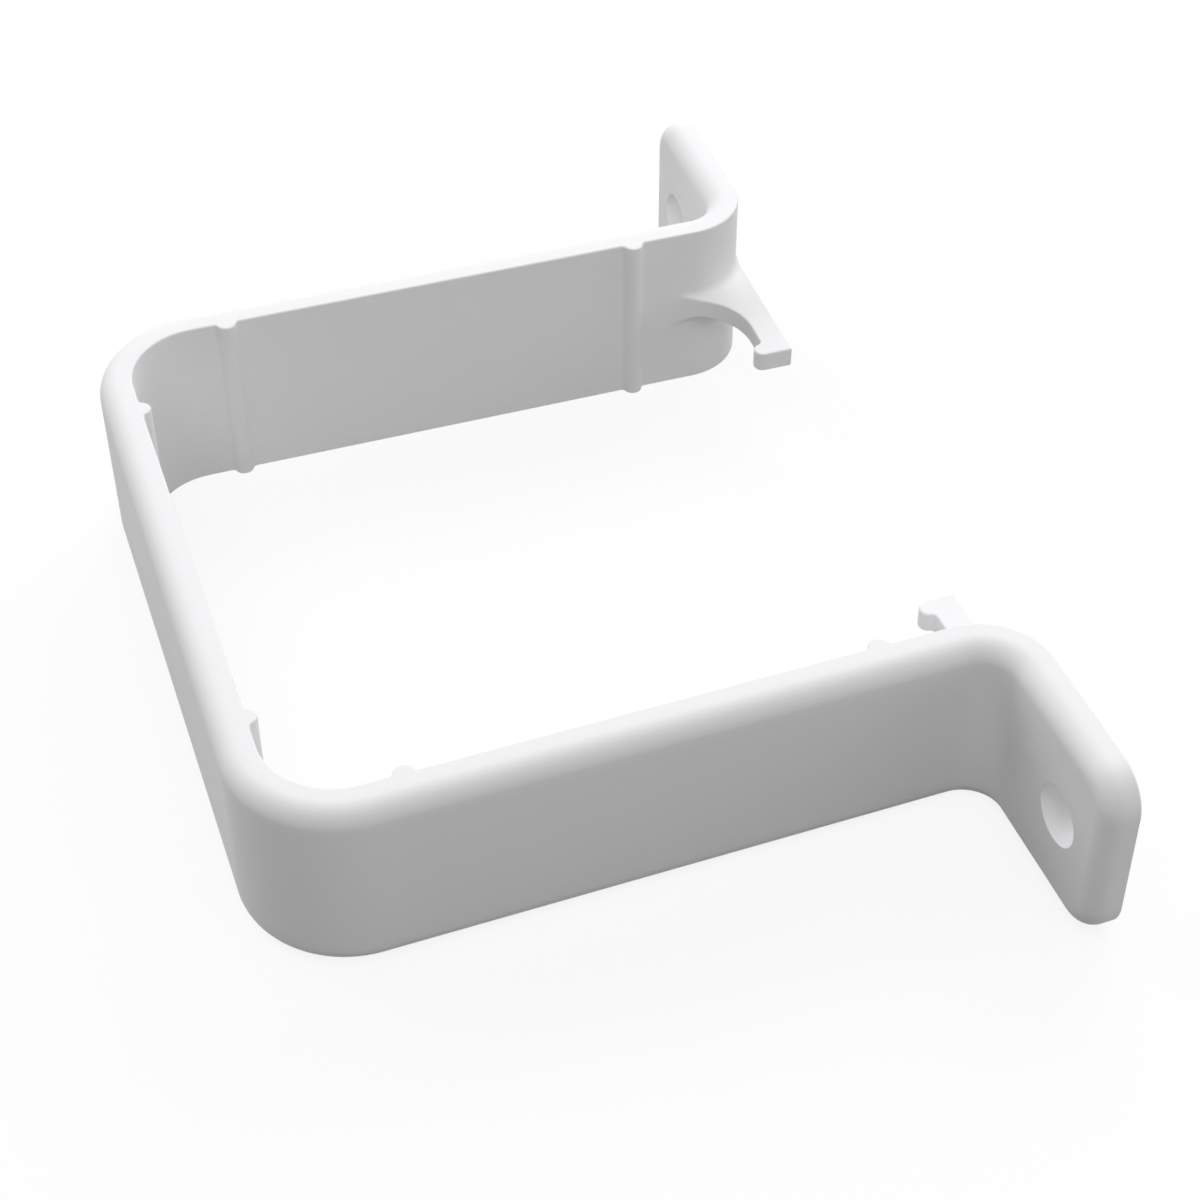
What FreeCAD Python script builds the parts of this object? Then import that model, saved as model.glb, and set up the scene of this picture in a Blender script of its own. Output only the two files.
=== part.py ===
"""Downpipe clip: one moulded band that holds a square downpipe against a wall.

A flat band bends round the front and both sides of the pipe, then turns outwards into two screw ears.
Beads inside the band touch the pipe, and a thin hook on each arm closes the way behind it.

Frame, in millimetres: X along the wall, +Y into the wall, +Z up along the pipe. The plane Y = 0 is the wall
that the tips of the ears touch. The origin is midway between the two screw holes, at half the band's height.
"""
import FreeCAD, Part
import math
import os

from FreeCAD import Placement, Rotation, Vector

# The square pipe and the play around it
PIPE_WIDTH = 65.0
PIPE_CLEARANCE = 0.8

# The band: its arms lean towards each other by TOE_IN degrees, so that the clip grips when it is screwed down
BAND_HEIGHT = 20.0
WALL = 3.5
FRONT_BEND_RADIUS = 7.3
TOE_IN = 1.05
RIM_RADIUS = 2.0

# The ears: the bend's radius is on its hollow side, and the flat part runs from the bend to the tip
EAR_BEND_RADIUS = 3.5
EAR_FLAT = 17.1
EAR_TIP_RADIUS = 4.0
SCREW_FROM_TIP = 7.5
SCREW_HOLE_DIAMETER = 6.1

# The half-round beads: one on either side of each front bend, and one on each arm in front of its hook
BEAD_RADIUS = 1.0
BEAD_BLEND = 0.5
BEAD_FROM_BEND = 3.9
BEAD_FROM_HOOK = 4.45

# The hooks: the neck's width is measured from the back of the ear, and the toe stands out from the neck
HOOK_THICKNESS = 2.3
HOOK_ROOT_RADIUS = 1.0
HOOK_ARC_RADIUS = 7.0
HOOK_NECK_WIDTH = 2.85
HOOK_NECK_LENGTH = 2.65
HOOK_TOE_RISE = 1.2
HOOK_TOE_RADIUS = 1.0
HOOK_TOE_BLEND = 0.6

# What follows from the sizes above: the arms are measured along their inner faces, up to the back of the ears
HOOK_ROOT_WIDTH = HOOK_NECK_WIDTH + HOOK_ARC_RADIUS
HOOK_TOE_WIDTH = HOOK_NECK_WIDTH + HOOK_TOE_RISE
INNER_HALF_WIDTH = PIPE_WIDTH / 2 + PIPE_CLEARANCE + BEAD_RADIUS
ARM_LENGTH = BEAD_RADIUS + PIPE_WIDTH + PIPE_CLEARANCE + HOOK_TOE_WIDTH
EAR_BACK_RADIUS = EAR_BEND_RADIUS + WALL
EAR_REACH = EAR_BACK_RADIUS + EAR_FLAT
FRONT_TURN = 90 + TOE_IN
FRONT_TANGENT = FRONT_BEND_RADIUS * math.tan(math.radians(FRONT_TURN / 2))
FRONT_HALF_STRAIGHT = INNER_HALF_WIDTH - FRONT_TANGENT
ARM_STRAIGHT = ARM_LENGTH - FRONT_TANGENT - EAR_BACK_RADIUS
FRONT_Y = -ARM_LENGTH * math.cos(math.radians(TOE_IN)) - EAR_REACH * math.sin(math.radians(TOE_IN))
UP = Vector(0, 0, 1)
NODE = "downpipe_clip"
ON_SURFACE = 1e-4

# A round takes at most this share of the wall or radius that it runs along
ROUND_SHARE = 0.8
TIP_ROUND = min(EAR_TIP_RADIUS, ROUND_SHARE * BAND_HEIGHT / 2)
RIM_ROUND = min(RIM_RADIUS, ROUND_SHARE * WALL, ROUND_SHARE * TIP_ROUND)


class Pen:
    """Draws tangent straights and arcs in a level plane."""

    def __init__(self, x, y, heading):
        self.at = Vector(x, y, 0)
        self.heading = heading
        self.edges = []

    def direction(self, turned=0):
        angle = math.radians(self.heading + turned)
        return Vector(math.cos(angle), math.sin(angle), 0)

    def forward(self, length):
        end = self.at + self.direction() * length
        self.line_to(end)

    def line_to(self, end):
        self.edges.append(Part.LineSegment(self.at, end).toShape())
        self.at = end

    def turn(self, radius, degrees):
        """Turns left by a positive angle and right by a negative one."""
        side = math.copysign(1, degrees)
        centre = self.at + self.direction(90 * side) * radius
        middle = centre + self.direction(degrees / 2 - 90 * side) * radius
        end = centre + self.direction(degrees - 90 * side) * radius
        self.edges.append(Part.Arc(self.at, middle, end).toShape())
        self.at = end
        self.heading += degrees


def bead_angle():
    """Angle at which a bead's blend, tangent to the face, meets the bead's round, centred on the face."""
    return math.degrees(math.acos(BEAD_BLEND / (BEAD_BLEND + BEAD_RADIUS)))


def bead_half_span():
    return (BEAD_BLEND + BEAD_RADIUS) * math.sin(math.radians(bead_angle()))


def draw_beaded_straight(pen, length, bead_places):
    """Draws a straight with half-round beads on its left, each place being a distance from its start."""
    drawn = 0
    for place in bead_places:
        pen.forward(place - bead_half_span() - drawn)
        pen.turn(BEAD_BLEND, bead_angle())
        pen.turn(BEAD_RADIUS, -2 * bead_angle())
        pen.turn(BEAD_BLEND, bead_angle())
        drawn = place + bead_half_span()
    pen.forward(length - drawn)


def arm_frame():
    """Place of the right arm: local Y runs along its inner face to the wall, local X out of the clip."""
    return Placement(Vector(INNER_HALF_WIDTH, FRONT_Y, 0), Rotation(UP, TOE_IN))


def inner_path():
    """Right half of the band's face towards the pipe, from the middle of the front to the ear's tip."""
    pen = Pen(0, FRONT_Y, 0)
    draw_beaded_straight(pen, FRONT_HALF_STRAIGHT, [FRONT_HALF_STRAIGHT - BEAD_FROM_BEND])
    pen.turn(FRONT_BEND_RADIUS, FRONT_TURN)
    hook_start = ARM_LENGTH - HOOK_ROOT_WIDTH - FRONT_TANGENT
    draw_beaded_straight(pen, ARM_STRAIGHT, [BEAD_FROM_BEND, hook_start - BEAD_FROM_HOOK])
    pen.turn(EAR_BACK_RADIUS, -90)
    pen.forward(EAR_FLAT)
    return pen


def outer_path():
    """Right half of the band's outer face, one wall away from the inner one."""
    pen = Pen(0, FRONT_Y - WALL, 0)
    pen.forward(FRONT_HALF_STRAIGHT)
    pen.turn(FRONT_BEND_RADIUS + WALL, FRONT_TURN)
    pen.forward(ARM_STRAIGHT)
    pen.turn(EAR_BEND_RADIUS, -90)
    pen.forward(EAR_FLAT)
    return pen


def extrude_level(edges, height):
    """Solid between two level copies of a closed outline, at equal distances above and below Z = 0."""
    wire = Part.Wire(Part.__sortEdges__(edges))
    face = Part.Face(wire)
    face.translate(Vector(0, 0, -height / 2))
    return face.extrude(UP * height)


def edges_at(shape, points):
    """The edges whose middles are nearest to the points."""
    def gap(edge, point):
        middle = edge.valueAt((edge.FirstParameter + edge.LastParameter) / 2)
        return middle.distanceToPoint(point)

    return [min(shape.Edges, key=lambda edge: gap(edge, point)) for point in points]


def half_band():
    """Right half of the band with its ear, square-edged but for the ear's rounded corners."""
    inner = inner_path()
    outer = outer_path()
    tip = Part.LineSegment(inner.at, outer.at).toShape()
    middle = Part.LineSegment(Vector(0, FRONT_Y, 0), Vector(0, FRONT_Y - WALL, 0)).toShape()
    half = extrude_level(inner.edges + [tip] + outer.edges + [middle], BAND_HEIGHT)
    tip_middle = (inner.at + outer.at) / 2
    corners = [tip_middle + UP * z for z in (-BAND_HEIGHT / 2, BAND_HEIGHT / 2)]
    return half.makeFillet(TIP_ROUND, edges_at(half, corners))


def mirrored(shape):
    return shape.mirror(Vector(0, 0, 0), Vector(1, 0, 0))


def outer_rim(band):
    """The closed loop of edges round the band's outer face: along its top, bottom and both ear tips."""
    path = Part.Wire(outer_path().edges)

    def is_outer(face):
        u0, u1, v0, v1 = face.ParameterRange
        point = face.valueAt((u0 + u1) / 2, (v0 + v1) / 2)
        foot = Part.Vertex(abs(point.x), point.y, 0)
        return foot.distToShape(path)[0] < ON_SURFACE

    edges = [edge for face in band.Faces if is_outer(face) for edge in face.Edges]
    return [edge for edge in edges if sum(edge.isSame(other) for other in edges) == 1]


def band():
    """The whole band, with the rim of its outer face rounded."""
    half = half_band()
    whole = half.fuse(mirrored(half)).removeSplitter()
    return whole.makeFillet(RIM_ROUND, outer_rim(whole))


def hook_outline():
    """Hook seen from above: X runs from the arm's face into the clip, Y from the back of the ear forwards.

    A quarter arc leads from the arm's face to the neck, and a blend from the neck to the toe's round.
    Behind that face the outline reaches out past the bend of the ear.
    """
    toe_turn = math.degrees(math.acos(1 - HOOK_TOE_RISE / (HOOK_TOE_BLEND + HOOK_TOE_RADIUS)))
    pen = Pen(0, HOOK_ROOT_WIDTH, -90)
    pen.turn(HOOK_ARC_RADIUS, 90)
    pen.forward(HOOK_NECK_LENGTH)
    pen.turn(HOOK_TOE_BLEND, toe_turn)
    pen.turn(HOOK_TOE_RADIUS, -90 - toe_turn)
    pen.line_to(Vector(pen.at.x, 0, 0))
    pen.line_to(Vector(-EAR_REACH, 0, 0))
    pen.line_to(Vector(-EAR_REACH, HOOK_ROOT_WIDTH, 0))
    pen.line_to(Vector(0, HOOK_ROOT_WIDTH, 0))
    return pen.edges


def hook_section():
    """Upright section of the hook, from the middle of the wall to the middle of the clip.

    X is the distance from the arm's face, which the plate meets in one fillet above and one below.
    """
    top = HOOK_THICKNESS / 2
    root = top + HOOK_ROOT_RADIUS
    slant = HOOK_ROOT_RADIUS * (1 - math.sqrt(0.5))
    near = -WALL / 2
    far = INNER_HALF_WIDTH
    edges = []
    for side in (1, -1):
        in_wall = Vector(near, 0, side * root)
        on_face = Vector(0, 0, side * root)
        on_arc = Vector(slant, 0, side * (top + slant))
        on_plate = Vector(HOOK_ROOT_RADIUS, 0, side * top)
        plate_end = Vector(far, 0, side * top)
        edges.append(Part.LineSegment(in_wall, on_face).toShape())
        edges.append(Part.Arc(on_face, on_arc, on_plate).toShape())
        edges.append(Part.LineSegment(on_plate, plate_end).toShape())
    edges.append(Part.LineSegment(Vector(near, 0, root), Vector(near, 0, -root)).toShape())
    edges.append(Part.LineSegment(Vector(far, 0, top), Vector(far, 0, -top)).toShape())
    return Part.Face(Part.Wire(Part.__sortEdges__(edges)))


def right_hook():
    """Hook on the right arm: its section, carried along the arm and round the bend, within its outline."""
    section = hook_section()
    section.translate(Vector(0, EAR_BACK_RADIUS, 0))
    along_arm = section.extrude(Vector(0, HOOK_ROOT_WIDTH, 0))
    round_bend = section.revolve(Vector(-EAR_BACK_RADIUS, EAR_BACK_RADIUS, 0), UP, -90)
    carried = along_arm.fuse(round_bend)
    outline = extrude_level(hook_outline(), HOOK_THICKNESS + 2 * HOOK_ROOT_RADIUS)
    hook = carried.common(outline)
    hook.rotate(Vector(0, 0, 0), UP, 180)
    hook.translate(Vector(0, ARM_LENGTH, 0))
    hook.Placement = arm_frame() * hook.Placement
    return hook


def right_screw_hole():
    """Drill for the right ear's screw, square to the wall and leaving the ear on both sides."""
    centre = arm_frame().multVec(Vector(EAR_REACH - SCREW_FROM_TIP, ARM_LENGTH - WALL / 2, 0))
    half_length = 2 * WALL
    start = centre - Vector(0, half_length, 0)
    return Part.makeCylinder(SCREW_HOLE_DIAMETER / 2, 2 * half_length, start, Vector(0, 1, 0))


def clip():
    """The finished clip: the band with a hook on each arm and a screw hole in each ear."""
    hook = right_hook()
    drill = right_screw_hole()
    body = band().fuse([hook, mirrored(hook)])
    body = body.cut([drill, mirrored(drill)])
    return body.removeSplitter()


def main():
    os.makedirs("parts", exist_ok=True)
    shape = clip()
    shape.exportStep(os.path.join("parts", NODE + ".step"))
    print(NODE, "valid:", shape.isValid(), "solids:", len(shape.Solids), "faces:", len(shape.Faces))
    print("volume, cubic millimetres:", round(shape.Volume, 1))


main()
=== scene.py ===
"""Looks of the downpipe clip: one white uPVC moulding with its floor, its light and its camera.

The moulding is worked out as numpy surfaces in the part's own frame, in millimetres, and becomes one closed
mesh in metres. X runs along the wall, +Y into the wall and +Z up along the pipe. The plane Y = 0 is the wall,
and the origin lies midway between the two screw holes at half the band's height.
"""
from __future__ import annotations

import logging
import math
from dataclasses import dataclass, field
from enum import Enum
from typing import Sequence

import bmesh
import bpy
import numpy as np
from mathutils import Matrix, Vector
from numpy.typing import NDArray

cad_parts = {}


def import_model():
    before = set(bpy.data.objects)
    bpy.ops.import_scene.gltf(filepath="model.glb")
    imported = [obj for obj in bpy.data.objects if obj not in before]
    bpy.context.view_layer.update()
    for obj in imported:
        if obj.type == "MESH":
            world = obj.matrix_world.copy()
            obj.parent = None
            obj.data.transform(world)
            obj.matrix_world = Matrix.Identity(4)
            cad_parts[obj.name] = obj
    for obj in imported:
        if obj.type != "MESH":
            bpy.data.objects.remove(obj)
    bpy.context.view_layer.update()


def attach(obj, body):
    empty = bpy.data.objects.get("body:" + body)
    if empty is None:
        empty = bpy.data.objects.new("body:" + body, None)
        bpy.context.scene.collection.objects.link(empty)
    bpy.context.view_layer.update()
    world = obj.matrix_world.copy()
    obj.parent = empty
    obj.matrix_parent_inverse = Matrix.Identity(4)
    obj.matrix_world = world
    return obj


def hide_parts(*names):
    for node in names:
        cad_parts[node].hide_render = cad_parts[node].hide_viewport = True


Array = NDArray[np.float64]
Mask = NDArray[np.bool_]
Index = NDArray[np.int64]

LOG = logging.getLogger("downpipe_clip")
NODE = "downpipe_clip"
BODY = "root"
SLOT = "white_upvc"
METRES = 0.001
QUARTER = math.pi / 2
UP = np.array([0.0, 0.0, 1.0])

# The clip's middle in metres, and the tint of the cooler lamps
MIDDLE = (0.0, -0.035, 0.0)
COOL = (1.0, 1.0, 1.03)


class Axis(Enum):
    """A mirror's direction, as a column of a point."""

    X = 0
    Z = 2


class Bend(Enum):
    """Which way a path turns, as the sign of its change of heading."""

    LEFT = 1
    RIGHT = -1


class Face(Enum):
    """The two broad faces of the band."""

    INNER = "inner"
    OUTER = "outer"


@dataclass(frozen=True)
class Shell:
    """A welded surface, with its faces' corners one after the other in one list.

    Attributes:
        points: Points in millimetres.
        corners: Point of each corner.
        sizes: Number of corners of each face.
    """

    points: Array
    corners: Index
    sizes: Index


@dataclass(frozen=True)
class Patch:
    """A piece of surface.

    Attributes:
        points: Points in millimetres.
        faces: Four-sided faces, of shape (n, 4).
        caps: Flat faces with many sides, each the points of its outline in order.
    """

    points: Array
    faces: Index
    caps: tuple[Index, ...] = ()

    @classmethod
    def from_outline(cls, outline: Array) -> Patch:
        """Fills a flat outline with one face.

        Args:
            outline: Points in order, of shape (n, 3).

        Returns:
            The patch.
        """
        return cls(outline, np.empty((0, 4), np.int64), (np.arange(len(outline)),))

    @classmethod
    def from_grid(cls, grid: Array, keep: Mask | None = None) -> Patch:
        """Joins each point of a grid to its neighbours.

        Args:
            grid: Points, of shape (rows, columns, 3).
            keep: Cells that become faces, of shape (rows - 1, columns - 1), or None for all.

        Returns:
            The patch that the kept cells form.
        """
        rows, columns = grid.shape[:2]
        index = np.arange(rows * columns).reshape(rows, columns)
        cells = np.stack([index[:-1, :-1], index[1:, :-1], index[1:, 1:], index[:-1, 1:]], axis=-1)
        faces = cells.reshape(-1, 4) if keep is None else cells[keep]
        return cls(grid.reshape(-1, 3), faces)

    def mirrored(self, axis: Axis) -> Patch:
        """Mirrors the patch, with its faces turned round to match.

        Args:
            axis: Direction that changes its sign.

        Returns:
            The mirror image.
        """
        points = self.points.copy()
        points[:, axis.value] *= -1.0
        return Patch(points, self.faces[:, ::-1], tuple(cap[::-1] for cap in self.caps))

    @staticmethod
    def joined(patches: Sequence[Patch]) -> Patch:
        """Puts patches side by side in one list of points.

        Args:
            patches: Patches to join.

        Returns:
            One patch with all their faces.
        """
        starts = np.cumsum([0] + [len(patch.points) for patch in patches[:-1]])
        faces = [patch.faces + start for patch, start in zip(patches, starts)]
        caps = [cap + start for patch, start in zip(patches, starts) for cap in patch.caps]
        return Patch(np.concatenate([patch.points for patch in patches]), np.concatenate(faces), tuple(caps))

    def welded(self, step: float) -> Shell:
        """Makes points that share a cell of a fine lattice one point, and drops unused ones.

        A four-sided face that loses one corner becomes a triangle, and one that loses more is left out.

        Args:
            step: Width of the lattice's cells.

        Returns:
            The welded surface.
        """
        used, corners = np.unique(np.concatenate([self.faces.ravel(), *self.caps]), return_inverse=True)
        points = self.points[used]
        cells = np.round(points / step).astype(np.int64)
        _, first, same = np.unique(cells, axis=0, return_index=True, return_inverse=True)
        corners = same.reshape(-1)[corners.reshape(-1)]
        faces = corners[:self.faces.size].reshape(-1, 4)
        doubled = faces == np.roll(faces, -1, axis=1)
        lost = doubled.sum(axis=1)
        quads = faces[lost == 0]
        triangles = faces[lost == 1][~doubled[lost == 1]].reshape(-1, 3)
        sizes = np.repeat([4, 3], [len(quads), len(triangles)])
        sizes = np.concatenate([sizes, [len(cap) for cap in self.caps]]).astype(np.int64)
        corners = np.concatenate([quads.ravel(), triangles.ravel(), corners[self.faces.size:]])
        return Shell(points[first], corners, sizes)


@dataclass(frozen=True)
class Stations:
    """Places along the band's inner face where its section is set down.

    Attributes:
        base: Points on the face without its beads, of shape (n, 2).
        heading: Directions of the path in radians.
        bead: Heights of the beads over the face.
        tip: Angles round the corners of the ear's tip, 0 before them and a quarter turn at the end.
    """

    base: Array
    heading: Array
    bead: Array
    tip: Array

    @property
    def along(self) -> Array:
        """Unit vectors along the path, of shape (n, 3)."""
        return np.stack([np.cos(self.heading), np.sin(self.heading), np.zeros_like(self.heading)], axis=-1)

    @property
    def outward(self) -> Array:
        """Unit vectors from the inner face to the outer one, of shape (n, 3)."""
        return np.stack([np.sin(self.heading), -np.cos(self.heading), np.zeros_like(self.heading)], axis=-1)


class Walk:
    """Walks along a path of straights and bends and notes its stations."""

    def __init__(self, start: tuple[float, float], heading: float) -> None:
        """Starts the walk with one station.

        Args:
            start: First point.
            heading: First direction in radians.
        """
        self.at = np.array(start)
        self.heading = heading
        self.rows = [np.array([[start[0], start[1], heading, 0.0, 0.0]])]

    @property
    def last(self) -> int:
        """Number of the latest station, counted from 0."""
        return sum(len(rows) for rows in self.rows) - 1

    def _note(self, base: Array, heading: Array, bead: Array, tip: Array) -> None:
        """Adds stations from arrays of equal length."""
        self.rows.append(np.column_stack([base, heading, bead, tip]))

    def straight(self, places: Array, bead: Array | None = None) -> None:
        """Walks straight on: base = start + place times direction.

        Args:
            places: Distances from here, the first being 0, which is noted already.
            bead: Heights of beads at those places, or None for none.
        """
        direction = np.array([math.cos(self.heading), math.sin(self.heading)])
        ahead = places[1:]
        heights = np.zeros_like(ahead) if bead is None else bead[1:]
        base = self.at + ahead[:, None] * direction
        self._note(base, np.full_like(ahead, self.heading), heights, np.zeros_like(ahead))
        self.at = base[-1]

    def bend(self, radius: float, angles: Array, side: Bend) -> None:
        """Walks round an arc: base = centre plus the radius, square to the heading.

        Args:
            radius: Radius of the arc.
            angles: Angles turned from here in radians, the first being 0, which is noted already.
            side: Which way the path turns.
        """
        sign = side.value
        centre = self.at + sign * radius * np.array([-math.sin(self.heading), math.cos(self.heading)])
        heading = self.heading + sign * angles[1:]
        base = centre - sign * radius * np.column_stack([-np.sin(heading), np.cos(heading)])
        self._note(base, heading, np.zeros_like(heading), np.zeros_like(heading))
        self.at = base[-1]
        self.heading = float(heading[-1])

    def tip(self, angles: Array) -> None:
        """Notes stations round the tip's corners, all at the corners' centre.

        Args:
            angles: Angles round the corners in radians, the first being 0, which is noted already.
        """
        ahead = angles[1:]
        base = np.repeat(self.at[None, :], len(ahead), axis=0)
        self._note(base, np.full_like(ahead, self.heading), np.zeros_like(ahead), ahead)

    def stations(self) -> Stations:
        """All the stations noted so far."""
        rows = np.concatenate(self.rows)
        return Stations(rows[:, :2], rows[:, 2], rows[:, 3], rows[:, 4])


@dataclass(frozen=True)
class Bead:
    """Half-round rib on the band's inner face, blended into it on both sides.

    Attributes:
        radius: Radius of the rib's round.
        blend: Radius of the blends at its feet.
        round_steps: Steps from the rib's middle to a blend.
        blend_steps: Steps along a blend.
    """

    radius: float = 1.0
    blend: float = 0.5
    round_steps: int = 8
    blend_steps: int = 6

    @property
    def half_span(self) -> float:
        """Distance from the rib's middle to the foot of its blend."""
        return math.sqrt((self.radius + self.blend) ** 2 - self.blend ** 2)

    def profile(self) -> tuple[Array, Array]:
        """The rib's section as heights over distances from its middle.

        The round is a circle centred on the face: distance = r sin a, height = r cos a. The blend is a circle
        that touches the face at the foot: distance = foot - b sin a, height = b - b cos a. Both end at the
        angle whose cosine is b / (r + b).

        Returns:
            Distances, from foot to foot, and heights.
        """
        meet = math.acos(self.blend / (self.radius + self.blend))
        crown = np.linspace(0.0, meet, self.round_steps + 1)
        foot = np.linspace(meet, 0.0, self.blend_steps + 1)[1:]
        distance = np.concatenate([self.radius * np.sin(crown), self.half_span - self.blend * np.sin(foot)])
        height = np.concatenate([self.radius * np.cos(crown), self.blend - self.blend * np.cos(foot)])
        return np.concatenate([-distance[:0:-1], distance]), np.concatenate([height[:0:-1], height])

    def along(self, length: float, middles: Sequence[float], spacing: float) -> tuple[Array, Array]:
        """Stations on a straight with ribs on it.

        Args:
            length: Length of the straight.
            middles: Distances of the ribs' middles from its start.
            spacing: Widest step on its plain runs.

        Returns:
            Distances from the start, and the ribs' heights there.
        """
        distance, height = self.profile()
        places, heights = [np.zeros(1)], [np.zeros(1)]
        for middle in middles:
            run = even_steps(places[-1][-1], middle - self.half_span, spacing)
            places += [run[1:], middle + distance[1:]]
            heights += [np.zeros(len(run) - 1), height[1:]]
        run = even_steps(places[-1][-1], length, spacing)
        places.append(run[1:])
        heights.append(np.zeros(len(run) - 1))
        return np.concatenate(places), np.concatenate(heights)


def even_steps(start: float, end: float, spacing: float) -> Array:
    """Even steps from start to end.

    Args:
        start: First value.
        end: Last value.
        spacing: Widest step.

    Returns:
        The values, both ends among them.
    """
    return np.linspace(start, end, max(2, math.ceil((end - start) / spacing) + 1))


@dataclass(frozen=True)
class Hook:
    """Thin flat hook at the back of an arm, with a fillet above and below where it grows out of the wall.

    Its plan has two directions: i runs from the arm's inner face into the clip, b from the back of the ear to
    the front. The wall's face is the line i = 0 down to b = bend_radius, and then the bend into the ear.

    Attributes:
        bend_radius: Inner radius of the bend from the arm into the ear.
        thickness: Thickness of the plate.
        root_radius: Radius of the fillets.
        arc_radius: Radius of the arc between the arm and the neck.
        neck_width: Width of the neck.
        neck_length: Length of its straight front.
        toe_rise: Rise from the neck's front to the toe.
        toe_radius: Radius of the toe.
        toe_blend: Radius between the neck and the toe.
        edge_share: Share of the half height in the edge's outermost cells, for the rounding.
        edge_cell: Length of the fillet's outermost cells, for the same.
        arm_steps: Steps of the fillet along the arm.
        front_steps: Steps round the bend where the arc cuts the fillet off.
        middle_steps: Steps where the fillet is whole.
        back_steps: Steps where the hook's back cuts it off.
        fillet_steps: Steps over the fillet.
        arc_steps: Steps along the arc.
        toe_steps: Steps round the toe.
        run_steps: Steps along a short straight.
        back_run_steps: Steps along the back.
    """

    bend_radius: float = 7.0
    thickness: float = 2.3
    root_radius: float = 1.0
    arc_radius: float = 7.0
    neck_width: float = 2.85
    neck_length: float = 2.65
    toe_rise: float = 1.2
    toe_radius: float = 1.0
    toe_blend: float = 0.6
    edge_share: float = 0.28
    edge_cell: float = 0.3
    arm_steps: int = 8
    front_steps: int = 8
    middle_steps: int = 14
    back_steps: int = 12
    fillet_steps: int = 7
    arc_steps: int = 18
    toe_steps: int = 16
    run_steps: int = 4
    back_run_steps: int = 16

    @property
    def root_width(self) -> float:
        """Distance from the back of the ear to where the hook leaves the arm's face."""
        return self.neck_width + self.arc_radius

    @property
    def toe_width(self) -> float:
        """Width of the toe, from the back of the ear."""
        return self.neck_width + self.toe_rise

    @property
    def half_thickness(self) -> float:
        """Height of the plate's top."""
        return self.thickness / 2

    @property
    def root_height(self) -> float:
        """Height at which the fillet meets the wall's face."""
        return self.half_thickness + self.root_radius

    def arm_angles(self) -> Array:
        """Angles on the hook's arc whose points lie beside the straight part of the arm."""
        end = math.asin((self.root_width - self.bend_radius) / self.arc_radius)
        return np.linspace(0.0, end, self.arm_steps + 1)

    def arm_places(self) -> Array:
        """Distances of those points along the arm, from the start of the hook."""
        return self.arc_radius * np.sin(self.arm_angles())

    def bend_angles(self) -> tuple[Array, Array, Array]:
        """Angles round the ear's bend, in three runs.

        Seen from the bend's axis, the fillet is first cut off by the hook's arc, then whole, and then cut off
        by the hook's back. The fillet's rim and the arc meet where their circles cut each other.

        Returns:
            Angles before, between and after the two meetings, which are in both runs that they end.
        """
        rim = self.bend_radius + self.root_radius
        across = self.bend_radius + self.arc_radius
        down = self.root_width - self.bend_radius
        reach = math.hypot(across, down)
        cosine = (reach ** 2 + rim ** 2 - self.arc_radius ** 2) / (2 * reach * rim)
        front = math.acos(cosine) - math.atan2(down, across)
        back = math.asin(self.bend_radius / rim)
        return (np.linspace(0.0, front, self.front_steps + 1),
                np.linspace(front, back, self.middle_steps + 1),
                np.linspace(back, QUARTER, self.back_steps + 1))

    def fillet(self) -> Array:
        """The upper fillet as a grid along the wall's face and out from it.

        At a distance d from the face the fillet's height is root height - sqrt(r^2 - (r - d)^2), which angle
        steps give as d = r - r cos a, height = root height - r sin a. Each row ends at the plate or, where
        the hook's arc or back is nearer, there, and its last cell is wide enough for the edge's rounding. A
        line from the bend's axis meets the arc's circle at the smaller root of its equation, and the back
        where its length is the bend's radius over the sine.

        Returns:
            Points (i, b, z), of shape (stations, steps, 3).
        """
        arm = self.arm_angles()
        front, middle, back = self.bend_angles()
        theta = np.concatenate([np.zeros(len(arm)), front[1:], middle[1:], back[1:]])
        cos, sin = np.cos(theta), np.sin(theta)
        across = self.bend_radius + self.arc_radius
        down = self.root_width - self.bend_radius
        half = across * cos[len(arm):] - down * sin[len(arm):]
        apart = across ** 2 + down ** 2 - self.arc_radius ** 2
        to_arc = half - np.sqrt(np.maximum(half ** 2 - apart, 0.0)) - self.bend_radius
        to_back = self.bend_radius / sin[len(arm):] - self.bend_radius
        cut = len(front) - 1, len(front) + len(middle) - 2
        reach = np.concatenate([
            self.arc_radius * (1.0 - np.cos(arm)),
            to_arc[:cut[0]],
            np.full(cut[1] - cut[0], self.root_radius),
            to_back[cut[1]:]])
        reach = np.clip(reach, 0.0, self.root_radius)
        end = np.arccos(1.0 - reach / self.root_radius)[:, None]
        plain = np.maximum(end - self.edge_cell / self.root_radius, 0.0)
        turn = np.concatenate([plain * np.linspace(0.0, 1.0, self.fillet_steps), end], axis=1)
        distance = self.root_radius * (1.0 - np.cos(turn))
        height = self.root_height - self.root_radius * np.sin(turn)
        foot_i = self.bend_radius * (cos - 1.0)
        foot_b = self.bend_radius * (1.0 - sin)
        foot_b[:len(arm)] = self.root_width - self.arm_places()
        return np.stack([foot_i[:, None] + distance * cos[:, None],
                         foot_b[:, None] - distance * sin[:, None],
                         height], axis=-1)

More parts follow.
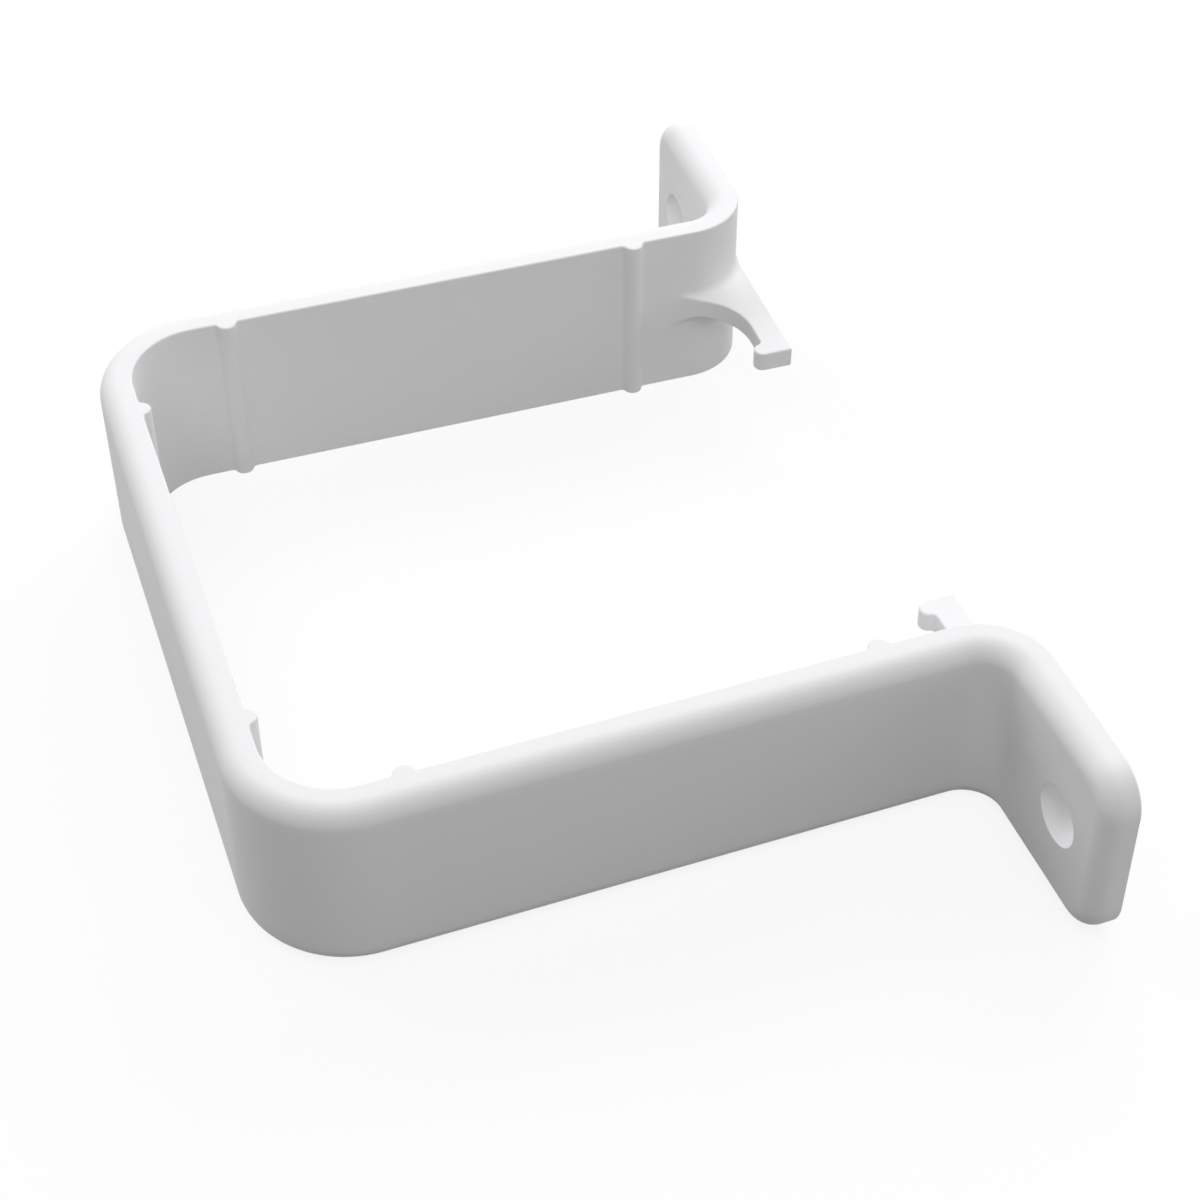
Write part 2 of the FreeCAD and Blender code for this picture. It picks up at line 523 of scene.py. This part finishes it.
    def plate_edge(self, start: Array, stop: Array) -> Array:
        """The edge of the plate's top from the front of its fillet round the toe to the back of its fillet.

        It is a quarter circle that ends along the neck, the straight neck, a small circle that turns off it,
        the toe's round, the toe's straight end and the straight back.

        Args:
            start: First point (i, b, z), on the quarter circle.
            stop: Last point, on the back.

        Returns:
            Points (i, b, z), of shape (n, 3).
        """
        first = math.asin((self.root_width - start[1]) / self.arc_radius)
        arc = np.linspace(first, QUARTER, self.arc_steps + 1)
        curve = np.column_stack([self.arc_radius * (1.0 - np.cos(arc)),
                                 self.root_width - self.arc_radius * np.sin(arc)])
        turn = math.acos(1.0 - self.toe_rise / (self.toe_blend + self.toe_radius))
        off = np.linspace(0.0, turn, self.toe_steps // 2 + 1)
        neck_end = np.array([self.arc_radius + self.neck_length, self.neck_width])
        neck = np.linspace(curve[-1], neck_end, self.run_steps + 1)[1:-1]
        blend = neck_end + self.toe_blend * np.column_stack([np.sin(off), 1.0 - np.cos(off)])
        centre = neck_end + np.array([(self.toe_blend + self.toe_radius) * math.sin(turn),
                                      self.toe_rise - self.toe_radius])
        heading = np.linspace(turn, -QUARTER, self.toe_steps + 1)[1:]
        toe = centre + self.toe_radius * np.column_stack([-np.sin(heading), np.cos(heading)])
        corner = np.array([toe[-1, 0], 0.0])
        end = np.linspace(toe[-1], corner, self.run_steps + 1)[1:]
        back = np.linspace(corner, stop[:2], self.back_run_steps + 1)[1:]
        edge = np.concatenate([curve, neck, blend, toe, end, back])
        return np.column_stack([edge, np.full(len(edge), self.half_thickness)])

    def row_shares(self, rows: int) -> Array:
        """Heights of the rows on the hook's wall, with end steps wide enough for the edges' rounding.

        Args:
            rows: Number of rows.

        Returns:
            Shares of the wall's half height, from -1 to 1.
        """
        within = 1.0 - self.edge_share
        return np.concatenate([[-1.0], np.linspace(-within, within, rows - 2), [1.0]])

    def patches(self, rows: int) -> list[Patch]:
        """The hook's surface in its plan's directions: covers above and below, and the wall round its edge.

        The edge's height follows the cover's rim, so it starts and ends with the fillet's foot on the wall.

        Args:
            rows: Number of points over the wall's height.

        Returns:
            Patches whose points are (i, b, z).
        """
        fillet = self.fillet()
        front = self.arm_steps + self.front_steps
        back = front + self.middle_steps
        rim = fillet[:, -1]
        edge = self.plate_edge(rim[front], rim[back])
        top = np.concatenate([edge, rim[back - 1:front:-1]])
        cover = [Patch.from_grid(fillet), Patch.from_outline(top)]
        path = np.concatenate([rim[:front], edge, rim[back + 1:]])
        wall = np.repeat(path[:, None, :], rows, axis=1)
        wall[:, :, 2] *= self.row_shares(rows)
        return cover + [patch.mirrored(Axis.Z) for patch in cover] + [Patch.from_grid(wall)]


@dataclass(frozen=True)
class Band:
    """The band round the pipe with its two screw ears, given by its right half.

    Attributes:
        hook: Hook of an arm.
        bead: Rib on the inner face.
        pipe_width: Width of the square pipe.
        pipe_clearance: Play between the pipe and the ribs.
        height: Height of the band.
        wall: Thickness of the band.
        front_bend_radius: Inner radius of a front bend.
        toe_in: Lean of an arm towards the other, in radians.
        rim_radius: Radius of the round along the outer face.
        ear_flat: Length of an ear from its bend to its tip.
        ear_tip_radius: Radius of the tip's corners.
        screw_from_tip: Distance of a screw hole's axis from the tip.
        screw_hole_diameter: Diameter of a screw hole.
        hole_edge: Radius of the rounding at its mouths.
        hole_ring: Width of the plain rings beside that.
        bead_from_bend: Distance of a rib from the front bend next to it.
        bead_from_hook: Distance of an arm's back rib from its hook.
        spacing: Widest step along plain straights.
        bend_steps: Steps round a front bend.
        tip_steps: Steps round a corner of the tip.
        hole_steps: Steps along the square round a hole.
        hole_edge_steps: Steps over the rounding at its mouths.
        middle_rows: Steps over the foot of a hook.
        outer_rows: Steps over a face above the square, and below it.
        flat_steps: Steps over the flat of the band's top.
        rim_steps: Steps over the rim's round.
    """

    hook: Hook = field(default_factory=Hook)
    bead: Bead = field(default_factory=Bead)
    pipe_width: float = 65.0
    pipe_clearance: float = 0.8
    height: float = 20.0
    wall: float = 3.5
    front_bend_radius: float = 7.3
    toe_in: float = math.radians(1.05)
    rim_radius: float = 2.0
    ear_flat: float = 17.1
    ear_tip_radius: float = 4.0
    screw_from_tip: float = 7.5
    screw_hole_diameter: float = 6.1
    hole_edge: float = 0.05
    hole_ring: float = 0.12
    bead_from_bend: float = 3.9
    bead_from_hook: float = 4.45
    spacing: float = 2.0
    bend_steps: int = 28
    tip_steps: int = 10
    hole_steps: int = 16
    hole_edge_steps: int = 4
    middle_rows: int = 16
    outer_rows: int = 5
    flat_steps: int = 3
    rim_steps: int = 12

    @property
    def inner_half_width(self) -> float:
        """Distance from the middle of the clip to an arm's inner face at the front."""
        return self.pipe_width / 2 + self.pipe_clearance + self.bead.radius

    @property
    def arm_length(self) -> float:
        """Length of an arm's inner face, from the front's inner face to the back of the ear."""
        return self.bead.radius + self.pipe_width + self.pipe_clearance + self.hook.toe_width

    @property
    def front_turn(self) -> float:
        """Angle of a front bend."""
        return QUARTER + self.toe_in

    @property
    def front_tangent(self) -> float:
        """Distance from the corner of the inner faces to the start of the bend between them."""
        return self.front_bend_radius * math.tan(self.front_turn / 2)

    @property
    def front_y(self) -> float:
        """Place of the front's inner face, with the tips of the ears on the wall."""
        reach = self.hook.bend_radius + self.ear_flat
        return -self.arm_length * math.cos(self.toe_in) - reach * math.sin(self.toe_in)

    @property
    def hole_margin(self) -> float:
        """Half the side of the square round a screw hole, which ends where the tip's corners start."""
        return self.screw_from_tip - self.ear_tip_radius

    @property
    def hook_rows(self) -> slice:
        """Steps between rows that the foot of a hook takes up."""
        return slice(self.outer_rows + 1, self.outer_rows + 1 + self.middle_rows)

    @property
    def hole_rows(self) -> slice:
        """Steps between rows that the square round a hole takes up, one more than a hook at either end."""
        return slice(self.outer_rows, self.outer_rows + self.middle_rows + 2)

    def on_arm(self, points: Array) -> Array:
        """Puts points of the hook's plan in the part's frame.

        Args:
            points: Points (i, b, z), of shape (..., 3).

        Returns:
            The same points on the right arm, as (x, y, z).
        """
        cos, sin = math.cos(self.toe_in), math.sin(self.toe_in)
        inwards, along = points[..., 0], self.arm_length - points[..., 1]
        return np.stack([self.inner_half_width - inwards * cos - along * sin,
                         self.front_y - inwards * sin + along * cos,
                         points[..., 2]], axis=-1)

    def walk(self) -> tuple[Stations, slice, slice]:
        """Walks the right half of the inner face, from the middle of the front to the ear's tip.

        Returns:
            The stations, and the steps between them that the hook and the screw hole take up.
        """
        hook = self.hook
        walk = Walk((0.0, self.front_y), 0.0)
        front = self.inner_half_width - self.front_tangent
        walk.straight(*self.bead.along(front, [front - self.bead_from_bend], self.spacing))
        walk.bend(self.front_bend_radius, np.linspace(0.0, self.front_turn, self.bend_steps + 1), Bend.LEFT)
        arm = self.arm_length - self.front_tangent - hook.root_width
        walk.straight(*self.bead.along(arm, [self.bead_from_bend, arm - self.bead_from_hook], self.spacing))
        hook_start = walk.last
        walk.straight(hook.arm_places())
        for angles in hook.bend_angles():
            walk.bend(hook.bend_radius, angles - angles[0], Bend.RIGHT)
        hook_steps = slice(hook_start, walk.last)
        walk.straight(even_steps(0.0, self.ear_flat - self.screw_from_tip - self.hole_margin, self.spacing))
        hole_start = walk.last
        walk.straight(np.linspace(0.0, 2 * self.hole_margin, self.hole_steps + 1))
        hole_steps = slice(hole_start, walk.last)
        walk.tip(np.linspace(0.0, QUARTER, self.tip_steps + 1))
        return walk.stations(), hook_steps, hole_steps

    def levels(self, face: Face) -> Array:
        """Heights of the rows of points on a broad face, before the tips narrow it.

        On both faces, rows lie at the feet of the hook's fillets and at the edges of the square round a hole.

        Args:
            face: Which of the two faces.

        Returns:
            Heights from the lowest row to the highest.
        """
        top = self.height / 2 - (self.rim_radius if face is Face.OUTER else 0.0)
        middle = self.hook.root_height * self.hook.row_shares(self.middle_rows + 1)
        outer = np.linspace(self.hole_margin, top, self.outer_rows + 1)
        return np.concatenate([-outer[::-1], middle, outer])

    def face_grid(self, stations: Stations, face: Face) -> Array:
        """A broad face as a grid of stations along the band and rows over its height.

        A point is the station's base, moved square to the path by the bead's height inwards or by the wall
        outwards. Round the tip's corners, of radius r, it also moves r sin a along the path, and its height
        shrinks with the outline's, which is half height - r + r cos a. The outer face's corners are smaller
        by the rim.

        Args:
            stations: Stations of the right half.
            face: Which of the two faces.

        Returns:
            Points, of shape (stations, rows, 3).
        """
        radius = self.ear_tip_radius - (self.rim_radius if face is Face.OUTER else 0.0)
        out = self.wall if face is Face.OUTER else -stations.bead
        levels = self.levels(face)
        straight_part = self.height / 2 - self.ear_tip_radius
        share = (straight_part + radius * np.cos(stations.tip)) / levels[-1]
        foot = np.column_stack([stations.base, np.zeros(len(stations.base))])
        foot = foot + stations.along * (radius * np.sin(stations.tip))[:, None]
        foot = foot + stations.outward * (out * np.ones(len(foot)))[:, None]
        return foot[:, None, :] + (share[:, None] * levels)[:, :, None] * UP

    def rim(self, stations: Stations, inner: Array, outer: Array) -> Patch:
        """The top, bottom and tip of the band with the round along the outer face, as one strip.

        The strip's section starts at the inner face's edge, crosses the wall and ends in a quarter circle of
        the rim's radius. It is carried along the top edge, round the tip and back along the bottom edge. On
        the tip's end the two faces' rows lie at other heights, so there the section drifts evenly from one to
        the other.

        Args:
            stations: Stations of the right half.
            inner: Grid of the inner face.
            outer: Grid of the outer face.

        Returns:
            The strip.
        """
        last = len(stations.base) - 1
        rows = np.arange(inner.shape[1] - 2, 0, -1)
        order = np.concatenate([np.arange(last + 1), np.full(len(rows), last), np.arange(last, -1, -1)])
        edge = np.concatenate([inner[:, -1], inner[last, rows], inner[::-1, 0]])
        side = np.concatenate([np.ones(last + 1), np.zeros(len(rows)), -np.ones(last + 1)])
        tip = stations.tip[order][:, None]
        inwards = -np.sin(tip) * stations.along[order] - (side[:, None] * np.cos(tip)) * UP
        outward = stations.outward[order]
        plain = edge + outward * stations.bead[order][:, None]
        flat_end = plain + (self.wall - self.rim_radius) * outward
        shares = np.linspace(0.0, 1.0, self.flat_steps + 1)[:-1, None, None]
        flat = edge + shares * (flat_end - edge)
        turn = np.linspace(0.0, QUARTER, self.rim_steps + 1)[:, None, None]
        centre = flat_end + self.rim_radius * inwards
        arc = centre + self.rim_radius * (np.sin(turn) * outward - np.cos(turn) * inwards)
        strip = np.concatenate([flat, arc])
        drift = np.concatenate([outer[:, -1], outer[last, rows], outer[::-1, 0]]) - strip[-1]
        return Patch.from_grid(strip + np.linspace(0.0, 1.0, len(strip))[:, None, None] * drift)

    def hole(self, grids: Sequence[Array], steps: slice) -> list[Patch]:
        """A screw hole: the faces round its two mouths and its wall.

        A mouth's face blends from the square's edge to a circle at the same angle. The mouth's own edge is a
        quarter circle of radius e, sharper than the other edges because the mould's core pin shuts off there:
        at an angle a it lies e - e sin a outside the bore and e - e cos a below the face. A ring on either
        side of it keeps the shading of the face and of the bore plain. The hole is square to the wall while
        the ear leans, so each ring is set down along Y from the ear's face, on the inner face towards the
        front and on the outer one towards the wall.

        Args:
            grids: Grids of the inner and the outer face.
            steps: Steps between stations that the square takes up.

        Returns:
            The patches.
        """
        inwards = self.screw_from_tip - self.hook.bend_radius - self.ear_flat
        centre = self.on_arm(np.array([inwards, 0.0, 0.0]))
        rows = self.hole_rows
        turn = np.linspace(0.0, QUARTER, self.hole_edge_steps + 1)
        beside = self.hole_edge + self.hole_ring
        outside = np.concatenate([[beside], self.hole_edge * (1.0 - np.sin(turn)), [0.0]])
        below = np.concatenate([[0.0], self.hole_edge * (1.0 - np.cos(turn)), [beside]])[:, None]
        radius = self.screw_hole_diameter / 2 + outside[:, None]
        patches, mouths = [], []
        for grid, into in zip(grids, (-1.0, 1.0)):
            square = grid[steps.start:steps.stop + 1, rows.start:rows.stop + 1]
            loop = np.concatenate([square[:-1, 0], square[-1, :-1], square[:0:-1, -1], square[0, ::-1]])
            angle = np.arctan2(loop[:, 2], loop[:, 0] - centre[0])
            across = centre[0] + radius * np.cos(angle)
            slope = square[-1, 0] - square[0, 0]
            face = square[0, 0, 1] + (across - square[0, 0, 0]) * slope[1] / slope[0]
            mouth = np.stack([across, face + into * below, radius * np.sin(angle)], axis=-1)
            patches.append(Patch.from_grid(np.stack([loop, mouth[0]])))
            mouths.append(mouth)
        patches.append(Patch.from_grid(np.concatenate([mouths[0], mouths[1][::-1]])))
        return patches

    def half(self) -> Patch:
        """The right half of the moulding, open only at the middle of the front.

        The inner face leaves room for the hook, the screw hole and the flat end of the ear beyond the hole.
        That end is one face, whose outline runs up beside the hole and round the tip's corners.

        Returns:
            All its surface in one patch.
        """
        stations, hook_steps, hole_steps = self.walk()
        inner = self.face_grid(stations, Face.INNER)
        outer = self.face_grid(stations, Face.OUTER)
        cells = (inner.shape[0] - 1, inner.shape[1] - 1)
        around_hole = np.ones(cells, bool)
        around_hole[hole_steps, self.hole_rows] = False
        around_all = around_hole.copy()
        around_all[hook_steps, self.hook_rows] = False
        around_all[hole_steps.stop:] = False
        end = inner[hole_steps.stop:]
        tip = np.concatenate([end[0], end[1:, -1], end[-1, -2:0:-1], end[:0:-1, 0]])
        hook = [Patch(self.on_arm(patch.points), patch.faces, patch.caps)
                for patch in self.hook.patches(self.middle_rows + 1)]
        return Patch.joined([
            Patch.from_grid(inner, around_all),
            Patch.from_outline(tip[::-1]),
            Patch.from_grid(outer, around_hole),
            self.rim(stations, inner, outer),
            *self.hole([inner, outer], hole_steps),
            *hook])


@dataclass(frozen=True)
class WhiteUpvc:
    """Satin white uPVC as it leaves a spark-eroded mould: an even pigment with a fine matt grain.

    Attributes:
        pigment: Colour of the plastic, linear.
        cloud: Share of the pigment's brightness that is left where its clouds are thickest.
        cloud_size: Size of those clouds in metres.
        cloud_detail: Number of finer layers in the clouds.
        ior: Index of refraction.
        roughness: Lowest and highest roughness of the grain.
        specular: Share of the plain surface's gloss that the matt grain leaves, 0.5 being all of it.
        grain_size: Size of the grain in metres.
        grain_detail: Number of finer layers in the grain.
        grain_depth: Depth of the grain in metres.
    """

    pigment: tuple[float, float, float] = (0.86, 0.86, 0.86)
    cloud: float = 0.985
    cloud_size: float = 0.018
    cloud_detail: float = 3.0
    ior: float = 1.52
    roughness: tuple[float, float] = (0.50, 0.58)
    specular: float = 0.25
    grain_size: float = 0.00035
    grain_detail: float = 2.0
    grain_depth: float = 0.000004

    def material(self) -> bpy.types.Material:
        """Builds the material.

        Returns:
            A material whose patterns follow Object coordinates.
        """
        material = bpy.data.materials.new(SLOT)
        material.use_nodes = True
        nodes, links = material.node_tree.nodes, material.node_tree.links
        shader = nodes["Principled BSDF"]
        shader.inputs["IOR"].default_value = self.ior
        shader.inputs["Specular IOR Level"].default_value = self.specular
        place = nodes.new("ShaderNodeTexCoord")
        clouds = nodes.new("ShaderNodeTexNoise")
        clouds.inputs["Scale"].default_value = 1.0 / self.cloud_size
        clouds.inputs["Detail"].default_value = self.cloud_detail
        tone = nodes.new("ShaderNodeMix")
        tone.data_type = "RGBA"
        tone.inputs["A"].default_value = (*(self.cloud * channel for channel in self.pigment), 1.0)
        tone.inputs["B"].default_value = (*self.pigment, 1.0)
        grain = nodes.new("ShaderNodeTexNoise")
        grain.inputs["Scale"].default_value = 1.0 / self.grain_size
        grain.inputs["Detail"].default_value = self.grain_detail
        sheen = nodes.new("ShaderNodeMapRange")
        sheen.inputs["To Min"].default_value, sheen.inputs["To Max"].default_value = self.roughness
        bump = nodes.new("ShaderNodeBump")
        bump.inputs["Distance"].default_value = self.grain_depth
        links.new(place.outputs["Object"], clouds.inputs["Vector"])
        links.new(place.outputs["Object"], grain.inputs["Vector"])
        links.new(clouds.outputs["Fac"], tone.inputs["Factor"])
        links.new(tone.outputs["Result"], shader.inputs["Base Color"])
        links.new(grain.outputs["Fac"], sheen.inputs["Value"])
        links.new(sheen.outputs["Result"], shader.inputs["Roughness"])
        links.new(grain.outputs["Fac"], bump.inputs["Height"])
        links.new(bump.outputs["Normal"], shader.inputs["Normal"])
        return material


@dataclass(frozen=True)
class DownpipeClip:
    """The whole moulding: two mirrored halves of the band with their hooks, in one closed mesh.

    Attributes:
        band: The band, of which both halves are made.
        finish: Its plastic.
        name: Name of the piece.
        weld_step: Width of the lattice on which points become one, in millimetres.
        sharp_angle: Angle between two faces over which their edge is rounded, in radians.
        edge_radius: Radius of that rounding in millimetres.
        edge_steps: Steps over it.
    """

    band: Band = field(default_factory=Band)
    finish: WhiteUpvc = field(default_factory=WhiteUpvc)
    name: str = "clip_moulding"
    weld_step: float = 1e-5
    sharp_angle: float = math.radians(35.0)
    edge_radius: float = 0.2
    edge_steps: int = 3

    def mesh(self) -> bpy.types.Mesh:
        """Welds the two halves into one mesh with outward faces.

        Returns:
            The mesh, in metres.
        """
        half = self.band.half()
        shell = Patch.joined([half, half.mirrored(Axis.X)]).welded(self.weld_step)
        mesh = bpy.data.meshes.new(self.name)
        mesh.vertices.add(len(shell.points))
        mesh.vertices.foreach_set("co", (shell.points * METRES).ravel())
        mesh.loops.add(len(shell.corners))
        mesh.loops.foreach_set("vertex_index", shell.corners)
        mesh.polygons.add(len(shell.sizes))
        mesh.polygons.foreach_set("loop_start", np.cumsum(shell.sizes) - shell.sizes)
        mesh.update(calc_edges=True)
        check = bmesh.new()
        check.from_mesh(mesh)
        bmesh.ops.recalc_face_normals(check, faces=check.faces)
        open_edges = sum(not edge.is_manifold for edge in check.edges)
        check.to_mesh(mesh)
        check.free()
        mesh.shade_smooth()
        LOG.info("%s: %d points, %d faces, %d open edges",
                 self.name, len(shell.points), len(shell.sizes), open_edges)
        return mesh

    def build(self) -> bpy.types.Object:
        """Makes the moulding's object, which stands for the solid.

        Returns:
            The object, riding on the part's only body.
        """
        piece = bpy.data.objects.new(self.name, self.mesh())
        bpy.context.scene.collection.objects.link(piece)
        edges = piece.modifiers.new("moulded_edges", "BEVEL")
        edges.limit_method = "ANGLE"
        edges.angle_limit = self.sharp_angle
        edges.width = self.edge_radius * METRES
        edges.segments = self.edge_steps
        edges.use_clamp_overlap = False
        edges.harden_normals = True
        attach(piece, BODY)
        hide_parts(NODE)
        return piece

    def dress(self, piece: bpy.types.Object) -> None:
        """Gives the moulding its finish.

        Args:
            piece: The moulding's object.
        """
        piece.data.materials.append(self.finish.material())


def direction_from(azimuth: float, elevation: float) -> Vector:
    """Direction from the clip to something round it.

    Args:
        azimuth: Angle about the upright in degrees, 0 being the front and 90 the right side.
        elevation: Angle over the level in degrees.

    Returns:
        A unit vector.
    """
    turn, rise = math.radians(azimuth), math.radians(elevation)
    return Vector((math.sin(turn) * math.cos(rise), -math.cos(turn) * math.cos(rise), math.sin(rise)))


@dataclass(frozen=True)
class Softbox:
    """A square lamp that points at the clip.

    Attributes:
        name: Name of the lamp.
        azimuth: Direction that it shines from, in degrees, 0 being the front and 90 the right side.
        elevation: Height of that direction over the level, in degrees.
        power: Power in watts.
        tint: Colour of its light, linear.
        distance: Distance from the point that it faces, in metres.
        side: Length of its side in metres.
        aim: Point that it faces, in metres.
    """

    name: str
    azimuth: float
    elevation: float
    power: float
    tint: tuple[float, float, float] = (1.0, 1.0, 1.0)
    distance: float = 0.7
    side: float = 0.5
    aim: tuple[float, float, float] = MIDDLE

    def build(self) -> bpy.types.Object:
        """Makes the lamp.

        Returns:
            The lamp's object.
        """
        lamp = bpy.data.lights.new(self.name, "AREA")
        lamp.shape = "SQUARE"
        lamp.size = self.side
        lamp.energy = self.power
        lamp.color = self.tint
        direction = direction_from(self.azimuth, self.elevation)
        softbox = bpy.data.objects.new(self.name, lamp)
        softbox.location = Vector(self.aim) + self.distance * direction
        softbox.rotation_euler = direction.to_track_quat("Z", "Y").to_euler()
        softbox.visible_camera = False
        bpy.context.scene.collection.objects.link(softbox)
        return softbox


@dataclass(frozen=True)
class Studio:
    """Pale floor under the clip, soft light round it and a few softboxes.

    Attributes:
        floor_level: Height of the floor in metres.
        floor_half: Half the floor's side in metres.
        floor_bounce: Colour of the floor as the clip sees it.
        shadow_share: Share of the floor's shading that the camera sees over plain white, beside the clip.
        shadow_reach: Distances from the clip's middle between which that share fades to nothing, in metres.
        sky: Strength of the light from all round.
        softboxes: The lamps.
    """

    floor_level: float = -0.01
    floor_half: float = 3.0
    floor_bounce: float = 0.35
    shadow_share: float = 0.15
    shadow_reach: tuple[float, float] = (0.1, 0.35)
    sky: float = 0.1
    softboxes: tuple[Softbox, ...] = (
        Softbox("high_front_right_softbox", 60.0, 62.0, 1.86),
        Softbox("high_back_right_softbox", 120.0, 62.0, 0.44),
        Softbox("low_back_right_softbox", 135.0, 10.0, 0.62),
        Softbox("low_back_softbox", 180.0, 10.0, 1.39, COOL),
        Softbox("back_left_softbox", 225.0, 35.0, 2.29, COOL),
        Softbox("left_softbox", 270.0, 35.0, 0.95, COOL),
        Softbox("front_left_softbox", 315.0, 35.0, 1.69, COOL),
    )

    def floor(self) -> bpy.types.Object:
        """Makes the floor, white to the camera with the clip's soft shadow on it.

        Returns:
            The floor's object.
        """
        ends = np.array([-self.floor_half, self.floor_half])
        x, y = np.meshgrid(ends, ends, indexing="ij")
        grid = np.stack([x, y, np.full_like(x, self.floor_level)], axis=-1)
        patch = Patch.from_grid(grid)
        mesh = bpy.data.meshes.new("floor")
        mesh.from_pydata(patch.points.tolist(), [], patch.faces.tolist())
        floor = bpy.data.objects.new("floor", mesh)
        bpy.context.scene.collection.objects.link(floor)
        mesh.materials.append(self.floor_material())
        return floor

    @staticmethod
    def seeing_rays(tree: bpy.types.NodeTree) -> bpy.types.NodeSocket:
        """Adds up the rays that look at the background: the camera's, and those of gloss and glass.

        Args:
            tree: Node tree that asks.

        Returns:
            A value, 1 for such a ray and 0 for one that carries light.
        """
        path = tree.nodes.new("ShaderNodeLightPath")
        total = path.outputs["Is Camera Ray"]
        for kind in ("Is Glossy Ray", "Is Transmission Ray"):
            added = tree.nodes.new("ShaderNodeMath")
            added.operation = "ADD"
            added.use_clamp = True
            tree.links.new(total, added.inputs[0])
            tree.links.new(path.outputs[kind], added.inputs[1])
            total = added.outputs["Value"]
        return total

    def floor_material(self) -> bpy.types.Material:
        """Builds the floor's material: a matt bounce for the clip, and mostly plain white where it is seen.

        Beside the clip a share of the floor's own shading shows, which holds the clip's shadow. The share
        fades with the distance from the clip's middle.

        Returns:
            The material.
        """
        material = bpy.data.materials.new("pale_floor")
        material.use_nodes = True
        nodes, links = material.node_tree.nodes, material.node_tree.links
        nodes.clear()
        output = nodes.new("ShaderNodeOutputMaterial")
        bounce = nodes.new("ShaderNodeBsdfDiffuse")
        bounce.inputs["Color"].default_value = (self.floor_bounce,) * 3 + (1.0,)
        shaded = nodes.new("ShaderNodeBsdfDiffuse")
        shaded.inputs["Color"].default_value = (1.0, 1.0, 1.0, 1.0)
        white = nodes.new("ShaderNodeEmission")
        place = nodes.new("ShaderNodeTexCoord")
        apart = nodes.new("ShaderNodeVectorMath")
        apart.operation = "DISTANCE"
        apart.inputs[1].default_value = MIDDLE
        share = nodes.new("ShaderNodeMapRange")
        share.interpolation_type = "SMOOTHSTEP"
        share.inputs["From Min"].default_value, share.inputs["From Max"].default_value = self.shadow_reach
        share.inputs["To Min"].default_value, share.inputs["To Max"].default_value = self.shadow_share, 0.0
        seen = nodes.new("ShaderNodeMixShader")
        chosen = nodes.new("ShaderNodeMixShader")
        links.new(place.outputs["Object"], apart.inputs[0])
        links.new(apart.outputs["Value"], share.inputs["Value"])
        links.new(share.outputs["Result"], seen.inputs["Fac"])
        links.new(white.outputs["Emission"], seen.inputs[1])
        links.new(shaded.outputs["BSDF"], seen.inputs[2])
        links.new(self.seeing_rays(material.node_tree), chosen.inputs["Fac"])
        links.new(bounce.outputs["BSDF"], chosen.inputs[1])
        links.new(seen.outputs["Shader"], chosen.inputs[2])
        links.new(chosen.outputs["Shader"], output.inputs["Surface"])
        return material

    def sky_light(self) -> bpy.types.World:
        """Builds the light from all round, plain white where it is looked at.

        Returns:
            The world.
        """
        world = bpy.data.worlds.new("studio")
        world.use_nodes = True
        nodes, links = world.node_tree.nodes, world.node_tree.links
        background = nodes["Background"]
        strength = nodes.new("ShaderNodeMapRange")
        strength.inputs["To Min"].default_value = self.sky
        strength.inputs["To Max"].default_value = 1.0
        background.inputs["Color"].default_value = (1.0, 1.0, 1.0, 1.0)
        links.new(self.seeing_rays(world.node_tree), strength.inputs["Value"])
        links.new(strength.outputs["Result"], background.inputs["Strength"])
        bpy.context.scene.world = world
        return world

    def build(self) -> None:
        """Makes the floor, the light from all round and the lamps."""
        self.floor()
        self.sky_light()
        for softbox in self.softboxes:
            softbox.build()


@dataclass(frozen=True)
class PhotoCamera:
    """Camera at the photograph's place, found from the clip's straight edges.

    Attributes:
        place: Place in metres.
        azimuth: Direction that it looks from, in degrees, 0 being the front and 90 the right side.
        elevation: Height of that direction over the level, in degrees.
        roll: Turn about its own axis in degrees.
        focal_pixels: Focal length in pixels of the photograph.
        image_pixels: Width of the photograph in pixels.
        nearest: Nearest distance that it sees, in metres.
    """

    place: tuple[float, float, float] = (0.1812756, -0.0922704, 0.1711481)
    azimuth: float = 71.0971
    elevation: float = 43.2333
    roll: float = -0.2755
    focal_pixels: float = 2532.606
    image_pixels: float = 1200.0
    nearest: float = 0.01

    def build(self) -> bpy.types.Object:
        """Makes the camera and gives it to the scene.

        Returns:
            The camera's object.
        """
        data = bpy.data.cameras.new("photo_camera")
        data.lens = self.focal_pixels / self.image_pixels * data.sensor_width
        data.clip_start = self.nearest
        camera = bpy.data.objects.new("photo_camera", data)
        back = direction_from(self.azimuth, self.elevation)
        level = Vector((0.0, 0.0, 1.0)).cross(back).normalized()
        upright = back.cross(level)
        turn = Matrix((level, upright, back)).transposed().to_4x4()
        turn = turn @ Matrix.Rotation(math.radians(self.roll), 4, "Z")
        camera.matrix_world = Matrix.Translation(self.place) @ turn
        bpy.context.scene.collection.objects.link(camera)
        bpy.context.scene.camera = camera
        return camera


def main() -> None:
    """Loads the frame, builds the moulding, the studio and the camera, and logs what the moulding rides on.
    """
    logging.basicConfig(level=logging.INFO, format="%(name)s: %(message)s")
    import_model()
    clip = DownpipeClip()
    piece = clip.build()
    clip.dress(piece)
    LOG.info("%s rides on %s and stands for %s", piece.name, BODY, NODE)
    Studio().build()
    PhotoCamera().build()
    bpy.context.scene.view_settings.view_transform = "Standard"


if __name__ == "__main__":
    main()
